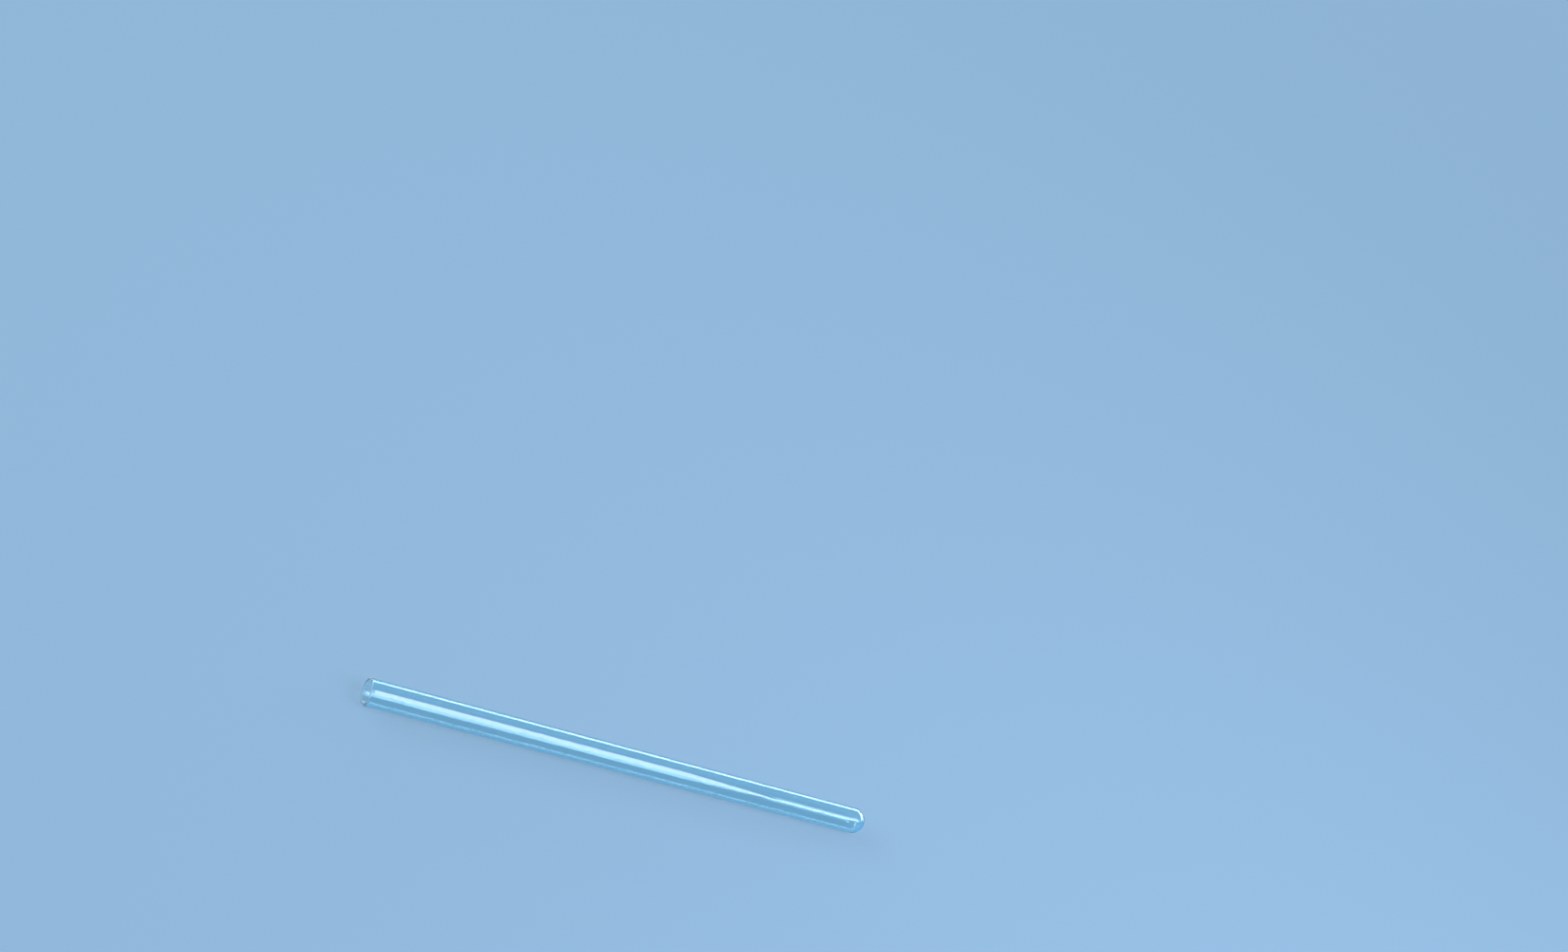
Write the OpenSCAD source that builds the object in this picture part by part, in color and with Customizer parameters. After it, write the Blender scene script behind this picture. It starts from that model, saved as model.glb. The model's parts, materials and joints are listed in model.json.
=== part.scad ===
// Slim sample tube of clear glass: one length of drawn tubing, closed to a
// round bottom at one end and left open at the other, where a flame has
// rounded the lip. It lies on its side along X, with its mouth towards -X and
// its closed end towards +X, and it rests on z = 0.

/* [Glass wall] */
// Outer diameter of the drawn wall
outer_d = 4.97; // [3:0.01:10]
// Thickness of the drawn wall
wall_t = 0.38; // [0.2:0.01:0.8]

/* [Length] */
// Overall length, from the lip to the outside of the tip
tube_l = 103.5; // [50:0.5:210]

/* [Closed end] */
// Thickness of the glass at the tip
tip_t = 0.45; // [0.2:0.01:2]

/* [Hidden] */
$fn = 96;

outer_r = outer_d / 2;
bore_r = outer_r - wall_t;
// The flame rounds the whole thickness of the wall
lip_r = wall_t / 2;
// Where the straight wall ends, measured from the tip
wall_end = tube_l - lip_r;
// How far the bore's outline runs past the mouth, for a clean cut
overrun = 1;

// Half outline of a rod along +Y: a round bottom of radius r that starts at
// bottom_y, then straight up to top_y
module round_bottomed(r, bottom_y, top_y) {
    centre_y = bottom_y + r;
    intersection() {
        translate([0, centre_y]) circle(r);
        translate([0, bottom_y]) square(r);
    }
    translate([0, centre_y]) square([r, top_y - centre_y]);
}

// Half section of the glass: X is the radius and Y the distance from the tip
module glass_section() {
    difference() {
        round_bottomed(outer_r, 0, wall_end);
        round_bottomed(bore_r, tip_t, tube_l + overrun);
    }
    translate([outer_r - lip_r, wall_end]) circle(lip_r);
}

module glass_tube() {
    color([0.86, 0.95, 0.98, 0.45])
        translate([tube_l / 2, 0, outer_r])
            rotate([0, -90, 0])
                rotate_extrude() glass_section();
}

glass_tube();
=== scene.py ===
"""Slim sample tube of clear drawn glass, lying on its side on a plain pale floor.

The tube is one shell of glass: a straight drawn wall, a round closed end and a
mouth whose lip was rounded in a flame. It is worked out as one profile turned
round the tube's axis, from the sizes that the frame's mounts state.
"""

import json
import math

import bpy
import numpy as np
from mathutils import Matrix, Vector


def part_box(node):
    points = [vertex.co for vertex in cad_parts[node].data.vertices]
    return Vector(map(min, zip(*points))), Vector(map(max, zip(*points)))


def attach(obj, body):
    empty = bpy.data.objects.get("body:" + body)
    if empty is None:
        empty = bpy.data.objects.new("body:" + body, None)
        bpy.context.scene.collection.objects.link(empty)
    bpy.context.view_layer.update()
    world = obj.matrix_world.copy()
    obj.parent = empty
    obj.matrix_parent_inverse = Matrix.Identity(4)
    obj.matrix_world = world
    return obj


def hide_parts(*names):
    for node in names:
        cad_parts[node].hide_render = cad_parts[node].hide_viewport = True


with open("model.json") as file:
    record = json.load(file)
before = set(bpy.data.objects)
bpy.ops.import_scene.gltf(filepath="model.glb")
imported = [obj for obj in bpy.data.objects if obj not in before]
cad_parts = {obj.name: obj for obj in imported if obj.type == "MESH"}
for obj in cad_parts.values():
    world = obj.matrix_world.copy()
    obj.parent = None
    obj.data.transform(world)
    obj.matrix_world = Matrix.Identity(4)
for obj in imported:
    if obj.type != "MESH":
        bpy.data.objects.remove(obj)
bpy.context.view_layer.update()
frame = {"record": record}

MM = 0.001

# ---------------------------------------------------------------- tube sizes
low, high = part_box("glass_tube")
mounts = {m["name"]: m for m in frame["record"]["mounts"]}
WALL_MOUNT = mounts["outer_wall"]
BORE_MOUNT = mounts["sample_bore"]

TUBE_LENGTH = high.x - low.x
OUTER_R = WALL_MOUNT["dims"]["r_mm"] * MM
BORE_R = BORE_MOUNT["dims"]["r_mm"] * MM
BORE_LENGTH = BORE_MOUNT["dims"]["length_mm"] * MM
AXIS_Y, AXIS_Z = WALL_MOUNT["pos_m"][1:]
LIP_R = (OUTER_R - BORE_R) / 2
TIP_THICKNESS = TUBE_LENGTH - LIP_R - BORE_LENGTH - BORE_R
MIDDLE = Vector(((low.x + high.x) / 2, AXIS_Y, AXIS_Z))

# ---------------------------------------------------------------------- glass
GLASS_IOR = 1.473  # borosilicate
FILM_GRAIN = (70, 260, 260)  # grains of the film of handling, per metre on each axis
FILM_SPREAD = (0.42, 0.72)  # from bare polish to the thickest film
FILM_ROUGHNESS = (0.004, 0.045)  # roughness at those two
DRAW_LINE_GRAIN = (9, 1500, 1500)  # grains of the draw lines, per metre on each axis
DRAW_LINE_DEPTH = 0.0012 * MM
BODY_COLOUR = (0.10, 0.82, 0.99)  # what the body lets through
BODY_DENSITY = 720  # how fast it takes up the rest, per metre
LIP_FROST = 0.55  # roughness that the cut and the flame leave on the lip
LIP_BLOOM = 0.6  # how widely the frosted lip scatters the light that grazes it
LIP_TINT = (0.74, 0.90, 1.0)  # colour of that scattered light
LIP_EDGE = (low.x + 0.9 * LIP_R, low.x + 1.8 * LIP_R)  # where the frost runs out

# --------------------------------------------------------- fineness of the mesh
AROUND = 192  # facets round the tube
END_STEPS = 40  # rings on each round end
WALL_STEPS = 130  # rings along each straight wall
LIP_STEPS = 16  # rings over the lip

# ---------------------------------------------------------------------- floor
FLOOR_COLOUR = (0.07, 0.12, 0.18)
FLOOR_GLOW = (0.38, 0.62, 0.88)
FLOOR_GLOW_STRENGTH = 0.56
FLOOR_RINGS = (0, 0.1, 0.5, 1.5)  # radii of the rings on its flat part, in metres
FLOOR_FLAT = 3.2  # radius at which the flat part ends, in metres
FLOOR_BEND = 0.8  # radius of the bend
FLOOR_RISE = 0.6  # height of the wall over the bend
FLOOR_DROP = 0.01 * MM  # gap between it and the tube
FLOOR_AROUND = 96
FLOOR_BEND_STEPS = 24

# --------------------------------------------------------------------- lights
KEY_REACH = 330 * MM  # from the tube's axis
KEY_ANGLE = math.radians(68)  # of its middle, round the axis from the viewer's horizon
KEY_HALF_ANGLE = math.radians(17)
KEY_START = 54 * MM  # ends of its outline, from the tube's middle in X
KEY_LOW_END = 224 * MM
KEY_HIGH_END = 184 * MM
KEY_TAIL_END = 392 * MM
KEY_TAIL_HEIGHT = 36 * MM
KEY_RADIANCE = 8.1
KEY_COLOUR = (0.92, 0.92, 1.0)
FAR_CARD_ALONG = 304 * MM
BACK_STRIP_ALONG = 1100 * MM
END_CARD_COLOUR = (0.97, 1.0, 1.0)
AIR_COLOUR = (0.86, 0.94, 1.0)
AIR_STRENGTH = 0.32

# --------------------------------------------------------------------- camera
LENS_MM = 50
VIEW_AZIMUTH = math.radians(-37.84)
VIEW_ELEVATION = math.radians(46)
VIEW_DISTANCE = 403.0 * MM
VIEW_ROLL = math.radians(42.26)
AIM_PAST_MIDDLE = Vector((44.3, 87.9, 0)) * MM  # on the floor, beyond the tube
CLIP_START = 1 * MM
LIGHT_BOUNCES = 200  # light runs far along inside the wall before it leaves
GLOSSY_BOUNCES = 16


# ---------------------------------------------------------------------- meshes
def mesh_from_grid(name, rings, pole_ends=(False, False)):
    """A skin through rings of points, rings[i, j] being point j of ring i.
    Neighbouring rings are joined by quads, and an end whose ring has shrunk to a
    pole is closed with a fan of triangles on one point."""
    count, around = rings.shape[:2]
    first, last = pole_ends
    body = rings[1 if first else 0 : count - 1 if last else count]
    rows = len(body)
    points = body.reshape(-1, 3)
    here = np.arange(rows * around).reshape(rows, around)
    beside = np.roll(here, -1, axis=1)
    quads = np.stack(
        [here[:-1], here[1:], beside[1:], beside[:-1]], axis=-1
    ).reshape(-1, 4)
    fans = []
    if first:
        points = np.vstack([points, rings[0, :1]])
        pole = np.full(around, len(points) - 1)
        fans.append(np.stack([pole, here[0], beside[0]], axis=-1))
    if last:
        points = np.vstack([points, rings[-1, :1]])
        pole = np.full(around, len(points) - 1)
        fans.append(np.stack([pole, beside[-1], here[-1]], axis=-1))
    mesh = bpy.data.meshes.new(name)
    faces = quads.tolist() + [f for fan in fans for f in fan.tolist()]
    mesh.from_pydata(points.tolist(), [], faces)
    mesh.polygons.foreach_set("use_smooth", np.ones(len(mesh.polygons), bool))
    mesh.update()
    piece = bpy.data.objects.new(name, mesh)
    bpy.context.scene.collection.objects.link(piece)
    return piece


def quarter(centre, radius, start, end, steps):
    """Points on a circle about (centre, 0) from angle start to angle end: columns of
    centre + radius cos(angle), which is the place along the tube, and
    radius sin(angle), which is the distance from its axis."""
    angle = np.linspace(start, end, steps + 1)
    return np.stack(
        [centre + radius * np.cos(angle), radius * np.sin(angle)], axis=1
    )


def glass_profile():
    """The section of the glass as one line: from the tip over the outer round
    end, along the outer wall to the mouth, over the lip and back along the bore
    to the inside of the round end. The ends are quarter circles about their centres
    on the axis, the lip is a half circle in the middle of the wall, and columns are X
    and the distance from the axis."""
    outer_centre = high.x - OUTER_R
    bore_centre = high.x - TIP_THICKNESS - BORE_R
    mouth = low.x + LIP_R
    wall = np.linspace(outer_centre, mouth, WALL_STEPS + 1)[1:-1]
    bore = np.linspace(mouth, bore_centre, WALL_STEPS + 1)[1:-1]
    lip_angle = np.linspace(math.pi / 2, 3 * math.pi / 2, LIP_STEPS + 1)
    lip = np.stack(
        [
            mouth + LIP_R * np.cos(lip_angle),
            (OUTER_R + BORE_R) / 2 + LIP_R * np.sin(lip_angle),
        ],
        axis=1,
    )
    return np.vstack(
        [
            quarter(outer_centre, OUTER_R, 0, math.pi / 2, END_STEPS),
            np.stack([wall, np.full_like(wall, OUTER_R)], axis=1),
            lip,
            np.stack([bore, np.full_like(bore, BORE_R)], axis=1),
            quarter(bore_centre, BORE_R, math.pi / 2, 0, END_STEPS),
        ]
    )


def turned_on_axis(name, profile):
    """The profile turned once round the tube's axis: a point at place and reach
    becomes the ring (place, AXIS_Y + reach cos(turn), AXIS_Z + reach sin(turn)), and
    the profile's two ends are poles on the axis."""
    turn = np.linspace(0, 2 * math.pi, AROUND, endpoint=False)
    place, reach = profile[:, :1], profile[:, 1:]
    rings = np.stack(
        [
            np.broadcast_to(place, (len(profile), AROUND)),
            AXIS_Y + reach * np.cos(turn),
            AXIS_Z + reach * np.sin(turn),
        ],
        axis=-1,
    )
    return mesh_from_grid(name, rings, pole_ends=(True, True))


# ------------------------------------------------------------------- materials
def new_material(name):
    """A new material and its surface shader."""
    material = bpy.data.materials.new(name)
    material.use_nodes = True
    return material, material.node_tree.nodes["Principled BSDF"]


def scaled_place(nodes, links, scale):
    """The place on the piece in metres, multiplied by scale along each axis."""
    place = nodes.new("ShaderNodeTexCoord")
    mapping = nodes.new("ShaderNodeMapping")
    mapping.inputs["Scale"].default_value = scale
    links.new(place.outputs["Object"], mapping.inputs["Vector"])
    return mapping.outputs["Vector"]


def cloud(nodes, links, grain, detail, roughness):
    """Soft noise from 0 to 1 with grain lumps a metre along each axis."""
    noise = nodes.new("ShaderNodeTexNoise")
    noise.inputs["Scale"].default_value = 1
    noise.inputs["Detail"].default_value = detail
    noise.inputs["Roughness"].default_value = roughness
    links.new(scaled_place(nodes, links, grain), noise.inputs["Vector"])
    return noise.outputs["Fac"]


def remapped(nodes, links, value, from_range, to_range):
    """The value carried smoothly from one range to another and held at its ends."""
    step = nodes.new("ShaderNodeMapRange")
    step.interpolation_type = "SMOOTHSTEP"
    step.inputs["From Min"].default_value = from_range[0]
    step.inputs["From Max"].default_value = from_range[1]
    step.inputs["To Min"].default_value = to_range[0]
    step.inputs["To Max"].default_value = to_range[1]
    links.new(value, step.inputs["Value"])
    return step.outputs["Result"]


def clear_drawn_glass():
    """Clear glass with a light blue body, long shallow draw lines that run the
    tube's way, a thin uneven film of handling on its fire polish, and a frosted
    lip that the cut and the flame have left a little milky."""
    material, shader = new_material("clear_drawn_glass")
    nodes = material.node_tree.nodes
    links = material.node_tree.links
    shader.inputs["Base Color"].default_value = (1, 1, 1, 1)
    shader.inputs["Transmission Weight"].default_value = 1
    shader.inputs["IOR"].default_value = GLASS_IOR

    film = cloud(nodes, links, FILM_GRAIN, detail=4, roughness=0.6)
    haze = remapped(nodes, links, film, FILM_SPREAD, FILM_ROUGHNESS)
    place = nodes.new("ShaderNodeTexCoord")
    split = nodes.new("ShaderNodeSeparateXYZ")
    links.new(place.outputs["Object"], split.inputs["Vector"])
    frost = remapped(nodes, links, split.outputs["X"], LIP_EDGE, (LIP_FROST, 0))
    dullest = nodes.new("ShaderNodeMath")
    dullest.operation = "MAXIMUM"
    links.new(haze, dullest.inputs[0])
    links.new(frost, dullest.inputs[1])
    links.new(dullest.outputs["Value"], shader.inputs["Roughness"])
    bloom = remapped(nodes, links, split.outputs["X"], LIP_EDGE, (1, 0))
    links.new(bloom, shader.inputs["Sheen Weight"])
    shader.inputs["Sheen Roughness"].default_value = LIP_BLOOM
    shader.inputs["Sheen Tint"].default_value = (*LIP_TINT, 1)

    draw_lines = cloud(nodes, links, DRAW_LINE_GRAIN, detail=3, roughness=0.45)
    bump = nodes.new("ShaderNodeBump")
    bump.inputs["Strength"].default_value = 1
    bump.inputs["Distance"].default_value = DRAW_LINE_DEPTH
    links.new(draw_lines, bump.inputs["Height"])
    links.new(bump.outputs["Normal"], shader.inputs["Normal"])

    body = nodes.new("ShaderNodeVolumeAbsorption")
    body.inputs["Color"].default_value = (*BODY_COLOUR, 1)
    body.inputs["Density"].default_value = BODY_DENSITY
    output = nodes["Material Output"]
    links.new(body.outputs["Volume"], output.inputs["Volume"])
    return material


def pale_floor():
    """Plain pale blue matt board that glows softly itself, so that the glass on it
    hardly casts a shadow."""
    material, shader = new_material("pale_board")
    shader.inputs["Base Color"].default_value = (*FLOOR_COLOUR, 1)
    shader.inputs["Roughness"].default_value = 1
    shader.inputs["Specular IOR Level"].default_value = 0
    shader.inputs["Emission Color"].default_value = (*FLOOR_GLOW, 1)
    shader.inputs["Emission Strength"].default_value = FLOOR_GLOW_STRENGTH
    return material


# ----------------------------------------------------------------------- stage
def studio_floor():
    """A round floor that sweeps up into a low wall, turned round the object's middle:
    a flat disc, then a quarter circle of radius FLOOR_BEND, whose angle runs from
    straight down to level, then a straight rise."""
    angle = np.linspace(-math.pi / 2, 0, FLOOR_BEND_STEPS + 1)
    edge = FLOOR_FLAT + FLOOR_BEND
    reach = np.concatenate(
        [FLOOR_RINGS, FLOOR_FLAT + FLOOR_BEND * np.cos(angle), [edge]]
    )
    height = np.concatenate(
        [
            np.zeros(len(FLOOR_RINGS)),
            FLOOR_BEND + FLOOR_BEND * np.sin(angle),
            [FLOOR_BEND + FLOOR_RISE],
        ]
    )
    turn = np.linspace(0, 2 * math.pi, FLOOR_AROUND, endpoint=False)
    level = low.z - FLOOR_DROP + height[:, None]
    rings = np.stack(
        [
            MIDDLE.x + reach[:, None] * np.cos(turn),
            MIDDLE.y + reach[:, None] * np.sin(turn),
            np.broadcast_to(level, (len(reach), FLOOR_AROUND)),
        ],
        axis=-1,
    )
    floor = mesh_from_grid("studio_floor", rings, pole_ends=(True, False))
    floor.data.materials.append(pale_floor())


def beside_axis(along, angle, reach):
    """A place that lies along from the tube's middle in X, at an angle round the
    tube's axis from the viewer's horizon over the top, and at reach from it."""
    return MIDDLE + Vector((along, -reach * math.cos(angle), reach * math.sin(angle)))


def softbox(name, centre, aim, size, radiance, colour):
    """A rectangular area light at centre that faces aim, its first size level and
    its second upright. It lights the glass and the floor, and the camera looks
    past it."""
    data = bpy.data.lights.new(name, "AREA")
    data.shape = "RECTANGLE"
    data.size, data.size_y = size
    data.energy = radiance * math.pi * size[0] * size[1]
    data.color = colour
    lamp = bpy.data.objects.new(name, data)
    bpy.context.scene.collection.objects.link(lamp)
    facing = (aim - centre).to_track_quat("-Z", "Y").to_matrix().to_4x4()
    lamp.matrix_world = Matrix.Translation(centre) @ facing
    lamp.visible_camera = False


def glowing_panel(name, corners, radiance, colour):
    """A flat panel between its corners that glows evenly. The camera looks past it,
    as it does with the softboxes."""
    mesh = bpy.data.meshes.new(name)
    mesh.from_pydata(corners, [], [list(range(len(corners)))])
    panel = bpy.data.objects.new(name, mesh)
    bpy.context.scene.collection.objects.link(panel)
    material, shader = new_material(name)
    shader.inputs["Base Color"].default_value = (0, 0, 0, 1)
    shader.inputs["Emission Color"].default_value = (*colour, 1)
    shader.inputs["Emission Strength"].default_value = radiance
    mesh.materials.append(material)
    panel.visible_camera = False


def key_panel():
    """The key: a panel above the viewer, parallel to the tube, that is square at the
    mouth's end and slanted at the other, where its low edge runs on as a narrow
    tail. So its picture in the glass starts square behind the lip and tapers off
    to a fine line toward the closed end."""
    outward = Vector((0, -math.cos(KEY_ANGLE), math.sin(KEY_ANGLE)))
    upward = Vector((0, math.sin(KEY_ANGLE), math.cos(KEY_ANGLE)))
    half_height = KEY_REACH * math.tan(KEY_HALF_ANGLE)
    slant = (KEY_HIGH_END - KEY_LOW_END) / (2 * half_height)
    tail_start = KEY_LOW_END + slant * KEY_TAIL_HEIGHT
    outline = [
        (KEY_START, -half_height),
        (KEY_TAIL_END, -half_height),
        (KEY_TAIL_END, KEY_TAIL_HEIGHT - half_height),
        (tail_start, KEY_TAIL_HEIGHT - half_height),
        (KEY_HIGH_END, half_height),
        (KEY_START, half_height),
    ]
    corners = [
        MIDDLE + Vector((along, 0, 0)) + KEY_REACH * outward + rise * upward
        for along, rise in outline
    ]
    glowing_panel("key_panel", corners, KEY_RADIANCE, KEY_COLOUR)


def studio_light():
    """The key, whose picture lies along the middle of the glass; a weaker card over
    the key's tail; a low strip behind that draws the line on the tube's upper edge
    and a thin one near the lower edge; a low card off each end, for the tip and the
    lip; and even air for the rest."""
    key_panel()
    softbox(
        "far_card",
        centre=beside_axis(FAR_CARD_ALONG, math.radians(62.5), KEY_REACH),
        aim=beside_axis(FAR_CARD_ALONG, 0, 0),
        size=(180 * MM, 126 * MM),
        radiance=5.4,
        colour=(0.80, 0.90, 1.0),
    )
    softbox(
        "back_strip",
        centre=beside_axis(BACK_STRIP_ALONG, math.radians(172.6), 1500 * MM),
        aim=beside_axis(BACK_STRIP_ALONG, 0, 0),
        size=(2900 * MM, 330 * MM),
        radiance=5.8,
        colour=(1.0, 0.97, 0.95),
    )
    softbox(
        "tip_card",
        centre=MIDDLE + Vector((1560, 570, 330)) * MM,
        aim=MIDDLE + Vector((TUBE_LENGTH / 2, 0, 0)),
        size=(900 * MM, 600 * MM),
        radiance=5.0,
        colour=END_CARD_COLOUR,
    )
    softbox(
        "mouth_card",
        centre=MIDDLE + Vector((-1500, 600, 720)) * MM,
        aim=MIDDLE - Vector((TUBE_LENGTH / 2, 0, 0)),
        size=(1700 * MM, 700 * MM),
        radiance=8.0,
        colour=END_CARD_COLOUR,
    )
    world = bpy.data.worlds.new("studio_air")
    world.use_nodes = True
    sky = world.node_tree.nodes["Background"]
    sky.inputs["Color"].default_value = (*AIR_COLOUR, 1)
    sky.inputs["Strength"].default_value = AIR_STRENGTH
    bpy.context.scene.world = world


def place_camera():
    """Stands the camera off the tube's middle by azimuth, elevation and distance,
    faces the aim on the floor, and rolls it about its own line of sight."""
    data = bpy.data.cameras.new("camera")
    data.lens = LENS_MM
    data.clip_start = CLIP_START
    camera = bpy.data.objects.new("camera", data)
    bpy.context.scene.collection.objects.link(camera)
    level = math.cos(VIEW_ELEVATION)
    back = Vector(
        (
            math.sin(VIEW_AZIMUTH) * level,
            -math.cos(VIEW_AZIMUTH) * level,
            math.sin(VIEW_ELEVATION),
        )
    )
    eye = MIDDLE + VIEW_DISTANCE * back
    aim = Vector((MIDDLE.x, MIDDLE.y, low.z)) + AIM_PAST_MIDDLE
    facing = (aim - eye).to_track_quat("-Z", "Y").to_matrix().to_4x4()
    roll = Matrix.Rotation(VIEW_ROLL, 4, "Z")
    camera.matrix_world = Matrix.Translation(eye) @ facing @ roll
    bpy.context.scene.camera = camera


# ---------------------------------------------------------------------- making
place_camera()
studio_floor()
studio_light()

tube = turned_on_axis("drawn_glass_tube", glass_profile())
tube.data.materials.append(clear_drawn_glass())
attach(tube, "root")
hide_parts("glass_tube")

scene = bpy.context.scene
scene.view_settings.view_transform = "Standard"
scene.cycles.max_bounces = LIGHT_BOUNCES
scene.cycles.transmission_bounces = LIGHT_BOUNCES
scene.cycles.glossy_bounces = GLOSSY_BOUNCES
